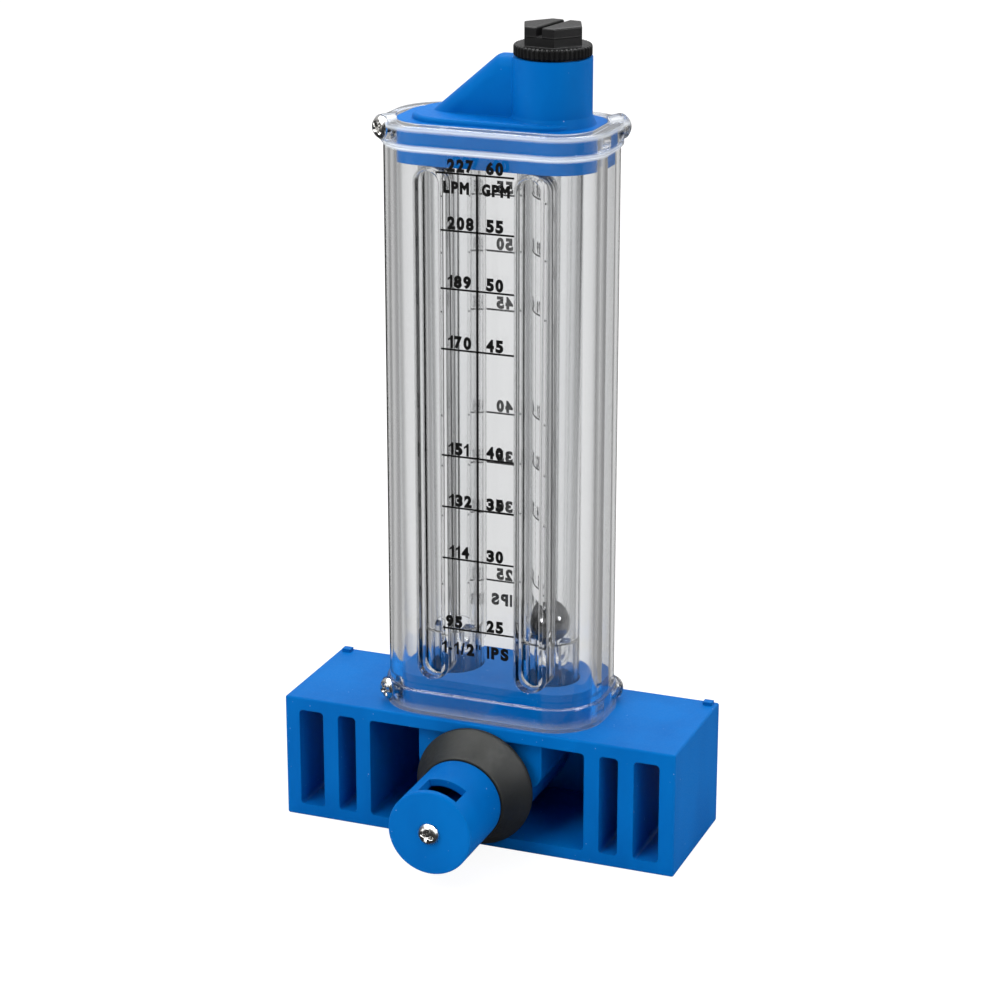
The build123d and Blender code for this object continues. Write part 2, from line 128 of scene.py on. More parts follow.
def rounded(points, radius, steps=5):
    """A polyline with each inner corner replaced by a small arc-like curve of the given reach."""
    points = np.asarray(points, float)
    out = [points[0]]
    for before, corner, after in zip(points[:-2], points[1:-1], points[2:]):
        a, b = before - corner, after - corner
        reach = min(radius, 0.45 * np.linalg.norm(a), 0.45 * np.linalg.norm(b))
        start = corner + a / np.linalg.norm(a) * reach
        end = corner + b / np.linalg.norm(b) * reach
        for t in np.linspace(0, 1, steps):
            out.append((1 - t) ** 2 * start + 2 * t * (1 - t) * corner + t**2 * end)
    out.append(points[-1])
    return np.array(out)


# %% [markdown]
# ## Materials
# Every material is a node tree on object coordinates, which are the frame's metres.

# %% Materials
def new_material(name):
    """A material with its Principled shader and an Object coordinate node."""
    mat = bpy.data.materials.new(name)
    mat.use_nodes = True
    tree = mat.node_tree
    shader = tree.nodes["Principled BSDF"]
    coords = tree.nodes.new("ShaderNodeTexCoord")
    return mat, tree, shader, coords.outputs["Object"]


def noise(tree, coords, scale, detail=3.0, stretch=(1, 1, 1)):
    """A noise texture on stretched object coordinates; returns its factor output."""
    mapping = tree.nodes.new("ShaderNodeMapping")
    mapping.inputs["Scale"].default_value = stretch
    tree.links.new(coords, mapping.inputs["Vector"])
    node = tree.nodes.new("ShaderNodeTexNoise")
    node.inputs["Scale"].default_value = scale
    node.inputs["Detail"].default_value = detail
    tree.links.new(mapping.outputs["Vector"], node.inputs["Vector"])
    return node.outputs["Fac"]


def ramp(tree, factor, low, high, start=0.35, end=0.65):
    """A colour ramp between two colours."""
    node = tree.nodes.new("ShaderNodeValToRGB")
    node.color_ramp.elements[0].position = start
    node.color_ramp.elements[1].position = end
    node.color_ramp.elements[0].color = (*low, 1)
    node.color_ramp.elements[1].color = (*high, 1)
    tree.links.new(factor, node.inputs["Fac"])
    return node.outputs["Color"]


def between(tree, factor, low, high):
    """A number that follows a factor from low to high."""
    node = tree.nodes.new("ShaderNodeMapRange")
    node.inputs["From Min"].default_value = 0.3
    node.inputs["From Max"].default_value = 0.7
    node.inputs["To Min"].default_value = low
    node.inputs["To Max"].default_value = high
    tree.links.new(factor, node.inputs["Value"])
    return node.outputs["Result"]


def colour_steps(tree, factor, steps):
    """A grey ramp through (position, value) steps."""
    node = tree.nodes.new("ShaderNodeValToRGB")
    elements = node.color_ramp.elements
    while len(elements) < len(steps):
        elements.new(0.5)
    for element, (position, value) in zip(elements, steps):
        element.position = position
        element.color = (value, value, value, 1)
    tree.links.new(factor, node.inputs["Fac"])
    return node.outputs["Color"]


def mixed(tree, factor, a, b, blend="MIX"):
    """A colour mix; the factor may be a plain number and b a plain colour."""
    node = tree.nodes.new("ShaderNodeMix")
    node.data_type = "RGBA"
    node.blend_type = blend
    if isinstance(factor, float):
        node.inputs[0].default_value = factor
    else:
        tree.links.new(factor, node.inputs[0])
    tree.links.new(a, node.inputs[6])
    if isinstance(b, tuple):
        node.inputs[7].default_value = (*b, 1)
    else:
        tree.links.new(b, node.inputs[7])
    return node.outputs[2]


def calc(tree, operation, *values, clamp=False):
    """A math node; each value is a socket or a plain number."""
    node = tree.nodes.new("ShaderNodeMath")
    node.operation = operation
    node.use_clamp = clamp
    for socket, value in zip(node.inputs, values):
        if isinstance(value, float):
            socket.default_value = value
        else:
            tree.links.new(value, socket)
    return node.outputs[0]


def shifted(tree, value):
    """A value from -1 to 1 as a share from 0 to 1."""
    return calc(tree, "MULTIPLY_ADD", value, 0.5, 0.5)


def parts_of(tree, vector):
    """The X, Y and Z outputs of a vector."""
    node = tree.nodes.new("ShaderNodeSeparateXYZ")
    tree.links.new(vector, node.inputs[0])
    return node.outputs


def either(tree, factor, first, second):
    """A shader that goes from the first to the second with a factor."""
    node = tree.nodes.new("ShaderNodeMixShader")
    for socket, value in zip(node.inputs, (factor, first, second)):
        tree.links.new(value, socket)
    return node.outputs[0]


def mirror_rays(tree, path):
    """1 for a ray that has been mirrored and hasn't gone through clear plastic."""
    return calc(tree, "SUBTRACT", path["Is Glossy Ray"], path["Is Transmission Ray"], clamp=True)


def surface_of(tree, shader):
    """Makes a shader output the material's surface."""
    tree.links.new(shader, tree.nodes["Material Output"].inputs["Surface"])


def bump(tree, factor, shader, distance, strength=0.3, edge=0.0):
    """A bump of a given height in metres, over edges that are softened by the given radius."""
    node = tree.nodes.new("ShaderNodeBump")
    if edge:
        soft = tree.nodes.new("ShaderNodeBevel")
        soft.samples = 4
        soft.inputs["Radius"].default_value = edge
        tree.links.new(soft.outputs["Normal"], node.inputs["Normal"])
    node.inputs["Strength"].default_value = strength
    node.inputs["Distance"].default_value = distance
    tree.links.new(factor, node.inputs["Height"])
    tree.links.new(node.outputs["Normal"], shader.inputs["Normal"])


def plastic(name, dark, light, rough, grain=2500.0, height=0.00002, shine=0.5, edge=0.0, speck=None,
            sheen=(1.0, 1.0, 1.0)):
    """Moulded plastic: broad flow marks in the colour, fine grain in the gloss and the surface, soft edges
    and a few light specks. The sheen is the colour of its gloss."""
    mat, tree, shader, coords = new_material(name)
    flow = noise(tree, coords, 60.0, 4.0, (1, 1, 0.4))
    colour = ramp(tree, flow, dark, light)
    if speck:
        dots = noise(tree, coords, 1100.0, 1.0)
        dust = ramp(tree, dots, (0, 0, 0), (0.5, 0.5, 0.5), 0.77, 0.81)
        colour = mixed(tree, dust, colour, speck)
    tree.links.new(colour, shader.inputs["Base Color"])
    fine = noise(tree, coords, grain, 2.0)
    tree.links.new(between(tree, fine, rough - 0.05, rough + 0.07), shader.inputs["Roughness"])
    bump(tree, fine, shader, height, edge=edge)
    shader.inputs["IOR"].default_value = 1.5
    shader.inputs["Specular IOR Level"].default_value = shine
    shader.inputs["Specular Tint"].default_value = (*sheen, 1)
    return mat


def clear(name, tint, rough, rim_highlights=None):
    """Clear moulded plastic with faint draw lines along Z, which bend what is seen through it. The optional
    list of (height in mm, how white) steps mixes a white, lit surface into it by height: painted highlights
    along the flanges' rounded rims. Light itself goes straight through, so what stands inside is lit."""
    mat, tree, shader, coords = new_material(name)
    shader.inputs["Base Color"].default_value = (*tint, 1)
    shader.inputs["Transmission Weight"].default_value = 1.0
    shader.inputs["IOR"].default_value = 1.57
    shader.inputs["Roughness"].default_value = rough
    lines = noise(tree, coords, 110.0, 1.0, (1, 1, 0.05))
    bump(tree, lines, shader, 0.00005, 0.07, edge=0.0005)
    surface = shader.outputs[0]
    # A white surface mixed in by height paints the rims' highlights
    if rim_highlights:
        white = tree.nodes.new("ShaderNodeBsdfPrincipled")
        white.inputs["Base Color"].default_value = (0.86, 0.91, 0.98, 1)
        white.inputs["Roughness"].default_value = 0.4
        full_height = 200.0
        share = calc(tree, "MULTIPLY", parts_of(tree, coords)["Z"], 1 / (full_height * MM))
        steps = [(z / full_height, value) for z, value in rim_highlights]
        surface = either(tree, colour_steps(tree, share, steps), surface, white.outputs[0])
    path = tree.nodes.new("ShaderNodeLightPath").outputs
    light = calc(tree, "MAXIMUM", path["Is Shadow Ray"], path["Is Diffuse Ray"])
    open_air = tree.nodes.new("ShaderNodeBsdfTransparent")
    open_air.inputs["Color"].default_value = (0.95, 0.95, 0.95, 1)
    surface_of(tree, either(tree, light, surface, open_air.outputs[0]))
    return mat


def metal(name, colour, rough):
    """Bright steel with fine polishing marks."""
    mat, tree, shader, coords = new_material(name)
    marks = noise(tree, coords, 3000.0, 3.0, (1, 1, 0.3))
    tree.links.new(ramp(tree, marks, tuple(0.86 * c for c in colour), colour), shader.inputs["Base Color"])
    tree.links.new(between(tree, marks, rough, rough + 0.08), shader.inputs["Roughness"])
    shader.inputs["Metallic"].default_value = 1.0
    return mat


def ink(name):
    """Pad-printed black ink, slightly uneven at its edges."""
    mat, tree, shader, coords = new_material(name)
    spots = noise(tree, coords, 1800.0, 2.0)
    tree.links.new(ramp(tree, spots, (0.001, 0.001, 0.001), (0.006, 0.006, 0.006)), shader.inputs["Base Color"])
    shader.inputs["Roughness"].default_value = 0.6
    shader.inputs["Specular IOR Level"].default_value = 0.15
    return mat


BLUE = plastic("blue_plastic", (0.0, 0.114, 0.42), (0.0, 0.142, 0.49), 0.42, shine=0.08,
               sheen=(0.25, 0.80, 1.0), edge=0.0004, speck=(0.35, 0.5, 0.8))
# Painted highlights on the clear body, as how white it is by height: the lower flange's foot, then the upper
# flange's two rims
RIM_HIGHLIGHTS = [(31.6, 0.0), (31.85, 0.22), (32.9, 0.15), (33.8, 0.0),
        (170.7, 0.0), (170.95, 0.9), (171.5, 0.9), (171.8, 0.0),
        (175.6, 0.0), (175.85, 0.75), (176.45, 0.75), (176.6, 0.0)]
CLEAR = clear("clear_plastic", (0.975, 0.98, 0.985), 0.015, RIM_HIGHLIGHTS)
STOP = clear("stop_plastic", (0.90, 0.905, 0.91), 0.05)
BLACK = plastic("black_plastic", (0.006, 0.006, 0.006), (0.013, 0.013, 0.014), 0.36, 1300.0, 0.00005,
                shine=0.2, edge=0.00025)
RUBBER = plastic("black_rubber", (0.010, 0.011, 0.010), (0.024, 0.025, 0.023), 0.50, 900.0, 0.00004,
                 shine=0.25)
BALL = metal("polished_steel", (0.21, 0.21, 0.214), 0.06)
STEEL = metal("screw_steel", (0.70, 0.69, 0.67), 0.22)
INK = ink("scale_ink")

SLOTS = {"blue_plastic": BLUE, "clear_plastic": CLEAR, "stop_plastic": STOP, "black_plastic": BLACK,
         "black_rubber": RUBBER, "polished_steel": BALL, "screw_steel": STEEL}
for part in frame["record"]["subparts"]:
    node = frame["nodes"][part["node"]]
    node.data.materials.clear()
    node.data.materials.append(SLOTS[part["material_slot"]])

# %% [markdown]
# ## Float ball
# A sphere as a latitude grid, in place of the CAD node.

# %% Float ball
def ball():
    """Points at radius r: colatitude 0 to pi in rows, turned about Z, on the ball's centre."""
    low, high = (np.array(c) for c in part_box("float_ball"))
    centre = (low + high) / 2
    r = (high - low)[2] / 2
    lat = np.linspace(0, np.pi, 49)
    verts, faces = lathe(np.stack([r * np.sin(lat), -r * np.cos(lat)], axis=-1), 96)
    obj = add_mesh("steel_ball", verts + centre, faces, BALL, "ball", node=("float_ball",))
    weld(obj)


ball()

# %% [markdown]
# ## Pipe gasket
# A lathed rubber cone with a soft rim, a slightly hollow flank and a thin lip round the probe.

# %% Pipe gasket
def gasket(bore=0.01012, rim_width=0.0011, nose_wall=0.0008, hollow=0.00035, edge=0.0004):
    """Closed profile (radius, distance along -Y) turned about the probe's axis. Its flank runs straight from
    rim to nose less a half sine wave of the hollow's depth."""
    low, high = (np.array(c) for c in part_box("pipe_gasket"))
    rim = (high - low)[0] / 2
    length = (high - low)[1]
    along = np.linspace(0, 1, 14)
    flank_r = rim + (bore + nose_wall - rim) * along - hollow * np.sin(np.pi * along)
    flank_y = rim_width + (length - rim_width) * along
    outer = rounded(np.vstack([[(bore, 0.0), (rim, 0.0)], np.stack([flank_r, flank_y], axis=-1)]), edge)
    profile = np.vstack([[(bore, 0.0)], outer, [(bore, length), (bore, 0.0)]])
    verts, faces = lathe(profile, 128)
    placed = np.stack([verts[:, 0], high[1] - verts[:, 2], verts[:, 1] + AXIS_Z], axis=-1)
    obj = add_mesh("rubber_cone", placed, faces, RUBBER, "meter", node=("pipe_gasket",))
    weld(obj)


gasket()

# %% [markdown]
# ## Printed scale
# Flat meshes just off the body's front and back faces. Only units, numbers and the pipe size.

# %% Printed scale
# Each row's litres and gallons per minute and the height of its line in millimetres
SCALE = [(227, 60, 166.4), (208, 55, 153.0), (189, 50, 139.2), (170, 45, 124.7),
         (151, 40, 98.7), (132, 35, 85.9), (114, 30, 73.0), (95, 25, 55.1)]
# Each sign's width and its foot and top, all as shares of the capital height; any other sign is a digit
SIGNS = {"L": (0.56, 0, 1), "P": (0.62, 0, 1), "M": (0.80, 0, 1), "G": (0.72, 0, 1),
         "I": (0.19, 0, 1), "S": (0.64, 0, 1), "1": (0.40, 0, 1), "-": (0.30, 0.30, 0.48),
         "/": (0.34, 0, 1), '"': (0.34, 0.62, 1), " ": (0.26, 0, 1)}
DIGIT = (0.63, 0, 1)
# Outlines of the signs that are drawn here, in a unit box
DRAWN = {"1": [[(0.50, 0.0), (1.0, 0.0), (1.0, 1.0), (0.62, 1.0), (0.42, 0.86), (0.0, 0.74), (0.0, 0.56),
                (0.50, 0.70)]],
         '"': [[(left, 0.0), (left + 0.34, 0.0), (left + 0.34, 1.0), (left, 1.0)] for left in (0.0, 0.66)]}
SHAPES = {}


def drawn(outlines):
    """The mesh between rise 1 and rise 0 of each outline (x, z)."""
    verts, faces = [], []
    for flat in outlines:
        n, start = len(flat), len(verts)
        verts += [(x, rise, z) for rise in (1.0, 0.0) for x, z in flat]
        faces += [tuple(range(start, start + n)), tuple(range(start + 2 * n - 1, start + n - 1, -1))]
        faces += [(start + (i + 1) % n, start + i, start + i + n, start + (i + 1) % n + n) for i in range(n)]
    return np.array(verts), faces


def sign(char, bold=0.065):
    """One sign's mesh in a unit box (x, rise, z), from the plain built-in letter thickened by a bevel; the one
    and the inch mark are drawn here, because the built-in ones are too plain."""
    if char in DRAWN and char not in SHAPES:
        SHAPES[char] = drawn(DRAWN[char])
    if char in SHAPES:
        return SHAPES[char]
    curve = bpy.data.curves.new("word", "FONT")
    curve.body = char
    curve.bevel_depth = bold
    curve.bevel_resolution = 0
    holder = bpy.data.objects.new("word", curve)
    scene.collection.objects.link(holder)
    mesh = bpy.data.meshes.new_from_object(holder)
    verts = np.empty(len(mesh.vertices) * 3)
    mesh.vertices.foreach_get("co", verts)
    verts = verts.reshape(-1, 3)
    faces = [tuple(p.vertices) for p in mesh.polygons]
    bpy.data.objects.remove(holder)
    bpy.data.meshes.remove(mesh)
    bpy.data.curves.remove(curve)
    verts = (verts - verts.min(axis=0)) / (verts.max(axis=0) - verts.min(axis=0))
    SHAPES[char] = (verts[:, [0, 2, 1]], faces)
    return SHAPES[char]


def words(text, x, base_z, height, gap=0.11):
    """A word's signs side by side from the left edge x, each in its own box; sizes in millimetres."""
    sizes = [SIGNS.get(char, DIGIT) for char in text]
    bits = []
    for char, (width, foot, top) in zip(text, sizes):
        if char != " ":
            verts, faces = sign(char)
            place = np.array([x, 0.0, base_z + height * foot])
            bits.append((place + verts * np.array([height * width, 1.0, height * (top - foot)]), faces))
        x += height * (width + gap)
    return bits


def bar(x0, x1, z0, z1):
    """A thin slab: its two faces are 0 and 1 deep."""
    corners = [[x, y, z] for y in (0, 1) for x, z in ((x0, z0), (x1, z0), (x1, z1), (x0, z1))]
    sides = [(i, (i + 1) % 4, (i + 1) % 4 + 4, i + 4) for i in range(4)]
    return np.array(corners, float), [(3, 2, 1, 0), (4, 5, 6, 7)] + sides


def scale_print(line=0.46, upright=0.56, digits=3.1, half_width=9.1, first_half_width=10.2):
    """All words and lines of one scale: points (x, rise 0 to 1, z), x and z in millimetres, and their faces."""
    top, foot = SCALE[0][2], SCALE[-1][2]
    bits = [bar(-upright / 2, upright / 2, foot, top)]
    for litres, gallons, z in SCALE:
        left = first_half_width if z == top else half_width
        bits.append(bar(-left, half_width, z - line / 2, z + line / 2))
        bits += words(str(litres), -7.35 if litres > 99 else -8.3, z + 0.3, digits)
        bits += words(str(gallons), 2.2, z + 0.3, digits)
    bits += words("LPM", -8.3, 161.7, 2.9)
    bits += words("GPM", 1.2, 161.7, 2.9)
    bits += words('1-1/2" IPS', -9.4, 48.6, 3.2, 0.14)
    return bits


def print_on(name, bits, side, lift=0.0, wall=0.01552, depth=0.000012):
    """The bits on the front (side 1) or turned half a turn about Z on the back (side -1). The back's are set
    a little higher, but its top row, above the unit words, by half as much, to stay under the flange."""
    flat, faces = joined(bits)
    unit_words_top, top_row_foot = 164.7, 166.0
    height = flat[:, 2] + np.interp(flat[:, 2], [unit_words_top, top_row_foot], [lift, lift / 2])
    verts = np.stack([side * flat[:, 0] * MM, -side * (wall + depth * flat[:, 1]), height * MM], axis=-1)
    obj = add_mesh(name, verts, faces, INK, "meter", smooth=False)
    weld(obj)


bits = scale_print()
print_on("scale_front", bits, 1)
print_on("scale_back", bits, -1, 2.4)

# %% [markdown]
# ## Clean-out cap
# A knurled flange, a slotted hexagon, a threaded plug and the stem, round the right-hand bore's axis.

# %% Clean-out cap
KNURL_RADIUS = 0.00904
FLANGE_HEIGHT = 0.0026
HEAD_HEIGHT = 0.0045
HEAD_FLATS = 0.013
HEAD_ANGLE = -8.7
SLOT_WIDTH = 0.0015
SLOT_DEPTH = 0.0024
THREAD_LENGTH = 0.008
OVERLAP = 0.0002       # how far the cap's shells run into one another


def knurled(radius, low, high, teeth=48, depth=0.00042, steps=8):
    """Flange rows: radius less depth times a flat-topped wave of the turn, with both edges eased. The rows
    past the top edge are round."""
    turn = full_turn(teeth * steps)
    valley = depth * (1 - np.clip(0.5 - 1.5 * np.cos(teeth * turn), 0, 1))
    rows = [ring(np.maximum(radius - inset - (valley if inset < 0.0005 else 0.0), 0), level, turn)
            for inset, level in ((radius, low), (0.00045, low), (0.0001, low + 0.00012), (0.0, low + 0.0003),
                                 (0.0, high - 0.0005), (0.00012, high - 0.0002), (0.0004, high),
                                 (0.0006, high), (radius, high))]
    return np.vstack(rows), grid_faces(len(rows), len(turn))


def prism(outline, low, high, edge):
    """An upright prism on a convex outline, its top edge eased by pulling the outline in by the same reach."""
    outline = np.asarray(outline, float)
    centre = outline.mean(axis=0)
    count = len(outline)
    ahead = np.roll(outline, -1, axis=0) - outline
    normal = np.stack([ahead[:, 1], -ahead[:, 0]], axis=-1) / np.linalg.norm(ahead, axis=1)[:, None]

    def pulled(reach):
        before = np.roll(normal, 1, axis=0)
        tilt = 1 + (normal * before).sum(axis=1)
        return outline - reach * (normal + before) / tilt[:, None]

    pole = np.repeat([centre], count, axis=0)
    rows = [pole, outline, outline, pulled(0.3 * edge), pulled(edge), pole]
    levels = [low, low, high - edge, high - 0.3 * edge, high, high]
    points = [np.column_stack([row, np.full(count, z)]) for row, z in zip(rows, levels)]
    return np.vstack(points), grid_faces(len(rows), count)


def hexagon(side=0):
    """The head's hexagon, or the half of it beyond the slot's wall on one side. The slot runs from flat to
    flat, a quarter turn from a corner."""
    turn = np.radians(HEAD_ANGLE + 60 * np.arange(6))
    corners = HEAD_FLATS / math.sqrt(3) * np.stack([np.cos(turn), np.sin(turn)], axis=-1)
    if not side:
        return corners
    across = -side * np.array([math.cos(turn[0]), math.sin(turn[0])])
    kept = []
    for a, b in zip(corners, np.roll(corners, -1, axis=0)):
        da, db = a @ across - SLOT_WIDTH / 2, b @ across - SLOT_WIDTH / 2
        if da > 0:
            kept.append(a)
        if da * db < 0:
            kept.append(a + (b - a) * da / (da - db))
    return kept


def plug_and_stem(top, seal, tip, crest=0.00658, depth=0.0009, pitch=0.002, fade=0.0006):
    """The neck, the thread and the stem. The thread's radius is the crest's less its depth times a blunt wave
    of the height plus the turn over the pitch, and it fades out at both ends."""
    turn = full_turn(96)
    end = seal - THREAD_LENGTH
    neck = ((0.0, top), (0.0064, top), (0.0064, seal + 0.0001), (0.0063, seal))
    rows = [ring(radius, level, turn) for radius, level in neck]
    for level in np.linspace(seal - 0.0001, end + 0.0001, 72):
        wave = np.clip(0.5 + 1.1 * np.cos(2 * np.pi * level / pitch + turn), 0, 1)
        ease = max(min(1.0, (seal - level) / fade, (level - end) / fade), 0.0)
        rows.append(ring(crest - depth * (1 - wave * ease), level, turn))
    stem = ((0.0055, end), (0.0032, end), (0.0031, end - 0.0003), (0.00241, tip + 0.0003), (0.0021, tip),
            (0.0, tip))
    rows += [ring(radius, level, turn) for radius, level in stem]
    return np.vstack(rows), [tuple(reversed(f)) for f in grid_faces(len(rows), len(turn))]


def cap():
    """All the cap's shells in one piece; the heights come from the CAD node's box."""
    low, high = (np.array(c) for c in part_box("cleanout_cap"))
    top, tip = high[2], low[2]
    flange = top - HEAD_HEIGHT
    under = flange - FLANGE_HEIGHT
    shells = [knurled(KNURL_RADIUS, under, flange),
              plug_and_stem(under + 2 * OVERLAP, under - 0.0012, tip),
              prism(hexagon(), flange - OVERLAP, top - SLOT_DEPTH + OVERLAP, 0.00002)]
    shells += [prism(hexagon(side), top - SLOT_DEPTH, top, 0.00035) for side in (-1, 1)]
    verts, faces = joined(shells)
    verts = verts + np.array([BORE_X, 0.0, 0.0])
    obj = add_mesh("knurled_cap", verts, faces, BLACK, "cap", smooth=False, node=("cleanout_cap",))
    weld(obj)


cap()

# %% [markdown]
# ## Screws
# Pan heads with a cross recess, as a height map on a disc, and a shank with a rolled thread.

# %% Screws
def screw_head(turn, radius=0.0027, height=0.0017, arm_half=0.00050, arm_reach=0.0017, depth=0.0011):
    """Rows of the head's top. The dome falls by a fourth power and a square of the radius; less the cross,
    whose depth grows inwards from its reach and whose walls lean."""
    share = np.concatenate([np.linspace(0, 0.68, 30), np.linspace(0.72, 1.0, 9)])
    share, angle = np.meshgrid(share, turn, indexing="ij")
    x, y = radius * share * np.cos(angle), radius * share * np.sin(angle)
    arm, reach = np.minimum(np.abs(x), np.abs(y)), np.maximum(np.abs(x), np.abs(y))
    cross = np.clip((arm_reach - reach) / 0.0010, 0, 1) * np.clip((arm_half - arm) / 0.00016, 0, 1)
    z = height - 0.0011 * share**4 - 0.0002 * share**2 - depth * cross
    edge = 0.00008
    return [*np.stack([x, y, z], axis=-1), ring(radius, edge, turn), ring(radius - edge, 0.0, turn)]


def screw_shape(length, shank=0.00142, pitch=0.00064, thread_depth=0.00030):
    """Head seat at 0 and the head along +Z. The shank's radius is less by the thread's depth times a
    saw-tooth of the height plus the turn over the pitch, which fades in below the head."""
    turn = full_turn(96)
    start, point = 0.0002, 0.0012
    rows = screw_head(turn) + [ring(shank, 0.0, turn)]
    for level in np.linspace(-start, -length + point, int((length - start - point) / pitch * 8)):
        saw = np.abs((level / pitch + turn / (2 * np.pi)) % 1.0 - 0.5) * 2
        fade = np.clip((-level - start) / 0.0008, 0, 1)
        rows.append(ring(shank - thread_depth * fade * (1 - saw), level, turn))
    rows += [ring(0.78 * shank, -length + 0.0010, turn), ring(0.3 * shank, -length + 0.0001, turn),
             ring(0.0, -length, turn)]
    return np.vstack(rows), grid_faces(len(rows), len(turn))


# How far each screw's cross is turned, in degrees
SPIN = {"lower_front_screw": 20, "lower_rear_screw": 8, "upper_front_screw": 35, "upper_rear_screw": 8,
        "probe_screw": -18}


def place_screw(node, seat, outward, length):
    """The screw's own axis along the outward direction, with its head seat at a point."""
    out = np.array(outward, float) / np.linalg.norm(outward)
    across = np.cross(out, (0, 0, 1))
    across /= np.linalg.norm(across)
    c, s = math.cos(math.radians(SPIN[node])), math.sin(math.radians(SPIN[node]))
    spin = np.array([(c, s, 0), (-s, c, 0), (0, 0, 1)])
    verts, faces = screw_shape(length)
    verts = verts @ spin @ np.stack([across, np.cross(out, across), out], axis=0) + np.array(seat)
    obj = add_mesh(node.replace("_screw", "_pan_screw"), verts, faces, STEEL, "meter", node=(node,))
    weld(obj)


def screws(lower=0.0349, upper=0.17475, reach=0.0125):
    """Four body screws, whose seats lie at a reach from the body's corner centre, and the long one through
    the probe."""
    tilt, seat = math.radians(25.0), math.radians(35.0)
    x = 0.0153 + reach * math.cos(seat)
    y = 0.0035 + reach * math.sin(seat)
    for level, z in (("lower", lower), ("upper", upper)):
        for place, side in (("front", -1), ("rear", 1)):
            outward = (side * math.sin(tilt), side * math.cos(tilt), 0)
            place_screw(f"{level}_{place}_screw", (side * x, side * y, z), outward, 0.0079)
    place_screw("probe_screw", (0, -0.04695, AXIS_Z), (0, -1, 0), 0.0444)


screws()

# %% [markdown]
# ## Studio
# A pale floor, a white background for the camera, and a soft grey surround with darker sides for
# everything that is seen through or in the clear plastic and the steel.

# %% Floor, surround and lights
# Brightness round the object by the share of a turn, as seen through the clear plastic: walls and floor
BANDS = [(0.0, 0.74), (0.08, 0.35), (0.14, 0.30), (0.20, 0.72), (0.32, 0.76), (0.38, 0.30), (0.44, 0.74),
         (0.52, 0.40), (0.60, 0.74), (0.70, 0.40), (0.78, 0.74), (0.88, 0.32), (0.94, 0.74)]
FLOOR_BANDS = [(0.0, 0.20), (0.05, 0.45), (0.15, 0.70), (0.45, 0.70), (0.58, 0.55), (0.63, 0.10),
               (0.68, 0.14), (0.72, 0.62), (0.76, 0.76), (0.85, 0.76), (0.875, 0.34), (0.90, 0.10),
               (0.935, 0.45), (0.97, 0.12)]
# The same by how far forward a point of the floor or a direction lies, from 0 in front to 1 behind
FLOOR_FRONT = [(0.275, 0.8), (0.36, 0.20), (0.47, 0.20), (0.5, 1.0)]
FRONT = [(0.44, 0.26), (0.52, 1.0)]
# The same by how far up a direction looks
ABOVE = [(0.20, 0.0), (0.55, 1.3)]
# The room that lights the object, from low in front to high behind, and how much brighter its mirror image
# is by how far up the direction looks
ROOM = [(0.0, 0.04), (0.42, 0.08), (0.56, 0.20), (0.70, 0.95), (1.0, 1.2)]
SOFTBOX = [(0.2, 0.45), (0.6, 0.6), (0.74, 1.0), (0.80, 9.0), (0.96, 9.0), (0.99, 1.0)]


def emission(tree, colour):
    """A shader that glows by a colour, which is a socket or plain."""
    node = tree.nodes.new("ShaderNodeEmission")
    if isinstance(colour, tuple):
        node.inputs["Color"].default_value = (*colour, 1)
    else:
        tree.links.new(colour, node.inputs["Color"])
    return node


def swept(tree, vector, steps):
    """Grey steps by the share of a turn about Z."""
    node = tree.nodes.new("ShaderNodeTexGradient")
    node.gradient_type = "RADIAL"
    tree.links.new(vector, node.inputs["Vector"])
    return colour_steps(tree, node.outputs["Fac"], steps)


def floor(size=3.0):
    """A wide near-white sheet. To the camera it glows nearly white, through the clear plastic it shows soft
    bands and a darker front, and in a mirror it's dark."""
    mesh = bpy.data.meshes.new("floor")
    corners = [(-size, -size, 0), (size, -size, 0), (size, size, 0), (-size, size, 0)]
    mesh.from_pydata(corners, [], [(0, 1, 2, 3)])
    obj = bpy.data.objects.new("floor", mesh)
    scene.collection.objects.link(obj)
    mat, tree, shader, coords = new_material("floor")
    paper = noise(tree, coords, 40.0, 2.0)
    tree.links.new(ramp(tree, paper, (0.93, 0.93, 0.93), (0.95, 0.95, 0.95)), shader.inputs["Base Color"])
    shader.inputs["Roughness"].default_value = 0.9
    shader.inputs["Specular IOR Level"].default_value = 0.1
    path = tree.nodes.new("ShaderNodeLightPath").outputs
    camera_ray = path["Is Camera Ray"]
    glow = emission(tree, mixed(tree, camera_ray, swept(tree, coords, FLOOR_BANDS), (1.15, 1.15, 1.15)))
    ahead = colour_steps(tree, shifted(tree, parts_of(tree, coords)["Y"]), FLOOR_FRONT)
    tree.links.new(calc(tree, "MAXIMUM", ahead, camera_ray), glow.inputs["Strength"])
    seen = calc(tree, "MULTIPLY", calc(tree, "ADD", camera_ray, path["Is Transmission Ray"]), 0.8)
    lit = either(tree, seen, shader.outputs[0], glow.outputs[0])
    dim = emission(tree, (0.04, 0.04, 0.04))
    surface_of(tree, either(tree, mirror_rays(tree, path), lit, dim.outputs[0]))
    obj.data.materials.append(mat)


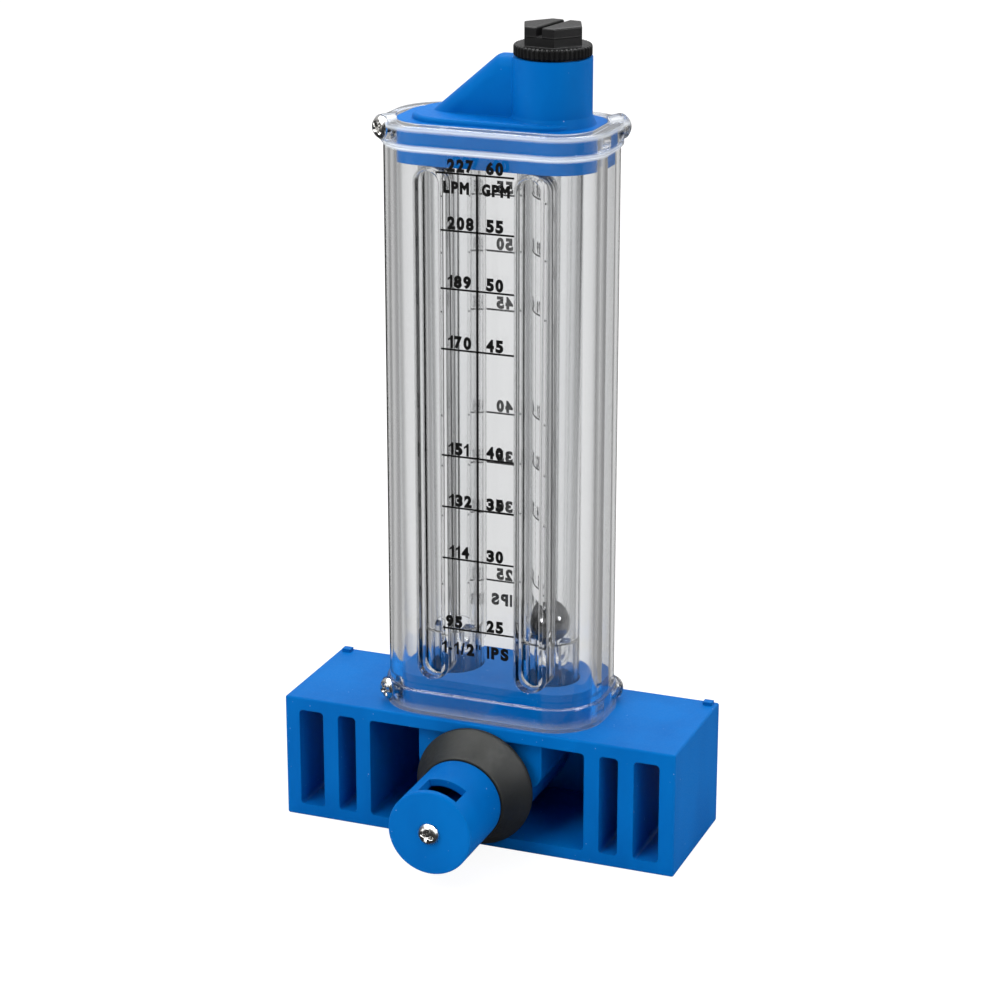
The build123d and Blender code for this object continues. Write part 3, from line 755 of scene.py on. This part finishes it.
def surround():
    """White for the camera, light grey with soft upright bands for what is seen through the clear plastic,
    and a dim room that is bright overhead for reflections and for the light itself."""
    world = bpy.data.worlds.new("studio")
    scene.world = world
    world.use_nodes = True
    tree = world.node_tree
    back = tree.nodes["Background"]
    way = tree.nodes.new("ShaderNodeTexCoord").outputs["Generated"]
    path = tree.nodes.new("ShaderNodeLightPath").outputs
    along = parts_of(tree, way)
    front = colour_steps(tree, shifted(tree, along["Y"]), FRONT)
    above = colour_steps(tree, along["Z"], ABOVE)
    through = mixed(tree, 1.0, swept(tree, way, BANDS), mixed(tree, 1.0, front, above, "LIGHTEN"), "MULTIPLY")
    lean = tree.nodes.new("ShaderNodeVectorMath")
    lean.operation = "DOT_PRODUCT"
    lean.inputs[1].default_value = (0.0, 0.35, 0.35)
    tree.links.new(way, lean.inputs[0])
    room = colour_steps(tree, calc(tree, "ADD", lean.outputs["Value"], 0.5), ROOM)
    mirrored = mixed(tree, 1.0, room, colour_steps(tree, along["Z"], SOFTBOX), "MULTIPLY")
    room = mixed(tree, mirror_rays(tree, path), room, mirrored)
    beyond = mixed(tree, path["Is Transmission Ray"], room, through)
    tree.links.new(mixed(tree, path["Is Camera Ray"], beyond, (1, 1, 1)), back.inputs["Color"])
    back.inputs["Strength"].default_value = 1.0


def faced(obj, place, back):
    """Sets an object at a place, with its -Z pointing away from the given way back, and links it."""
    back = back / np.linalg.norm(back)
    right = np.cross((0, 0, 1), back)
    right /= np.linalg.norm(right)
    turn = Matrix((right, np.cross(back, right), back)).transposed().to_4x4()
    turn.translation = place
    scene.collection.objects.link(obj)
    obj.matrix_world = turn


def area(name, place, target, size, power, through=False):
    """A square soft light that looks at a point. One that is seen through the clear plastic only adds
    highlights and no even light."""
    data = bpy.data.lights.new(name, "AREA")
    data.size = size
    data.energy = power
    obj = bpy.data.objects.new(name, data)
    faced(obj, place, np.array(place, float) - np.array(target, float))
    obj.visible_transmission = through
    obj.visible_diffuse = not through


floor()
surround()
area("key", (-0.35, -0.65, 0.75), (0, 0, 0.08), 0.5, 4.9)
area("fill", (0.70, -0.40, 0.60), (0, 0, 0.10), 0.5, 1.4)
area("side", (-0.75, -0.60, 0.25), (0, 0, 0.12), 0.4, 1.1)
area("top", (0.05, 0.35, 0.85), (0, 0, 0.10), 0.6, 2.1)
area("spark", (0.80, -0.22, 0.37), (0, 0, 0.06), 0.24, 4.0, through=True)

# %% [markdown]
# ## Camera
# A long lens a little to the right and above, as fitted to the photograph.

# %% Camera
def camera(azimuth=21.34, elevation=18.81, distance=0.7234, shift_right=-0.0004, shift_up=0.07915):
    """Azimuth and elevation give the way back to the camera; two offsets centre the frame."""
    az, el = math.radians(azimuth), math.radians(elevation)
    back = np.array([math.sin(az) * math.cos(el), -math.cos(az) * math.cos(el), math.sin(el)])
    right = np.array([math.cos(az), math.sin(az), 0.0])
    data = bpy.data.cameras.new("camera")
    data.lens = 103.99
    data.sensor_width = 36.0
    obj = bpy.data.objects.new("camera", data)
    faced(obj, right * shift_right + np.cross(back, right) * shift_up + back * distance, back)
    scene.camera = obj


camera()
scene.view_settings.view_transform = "Standard"

# %% Finish
bpy.context.view_layer.update()
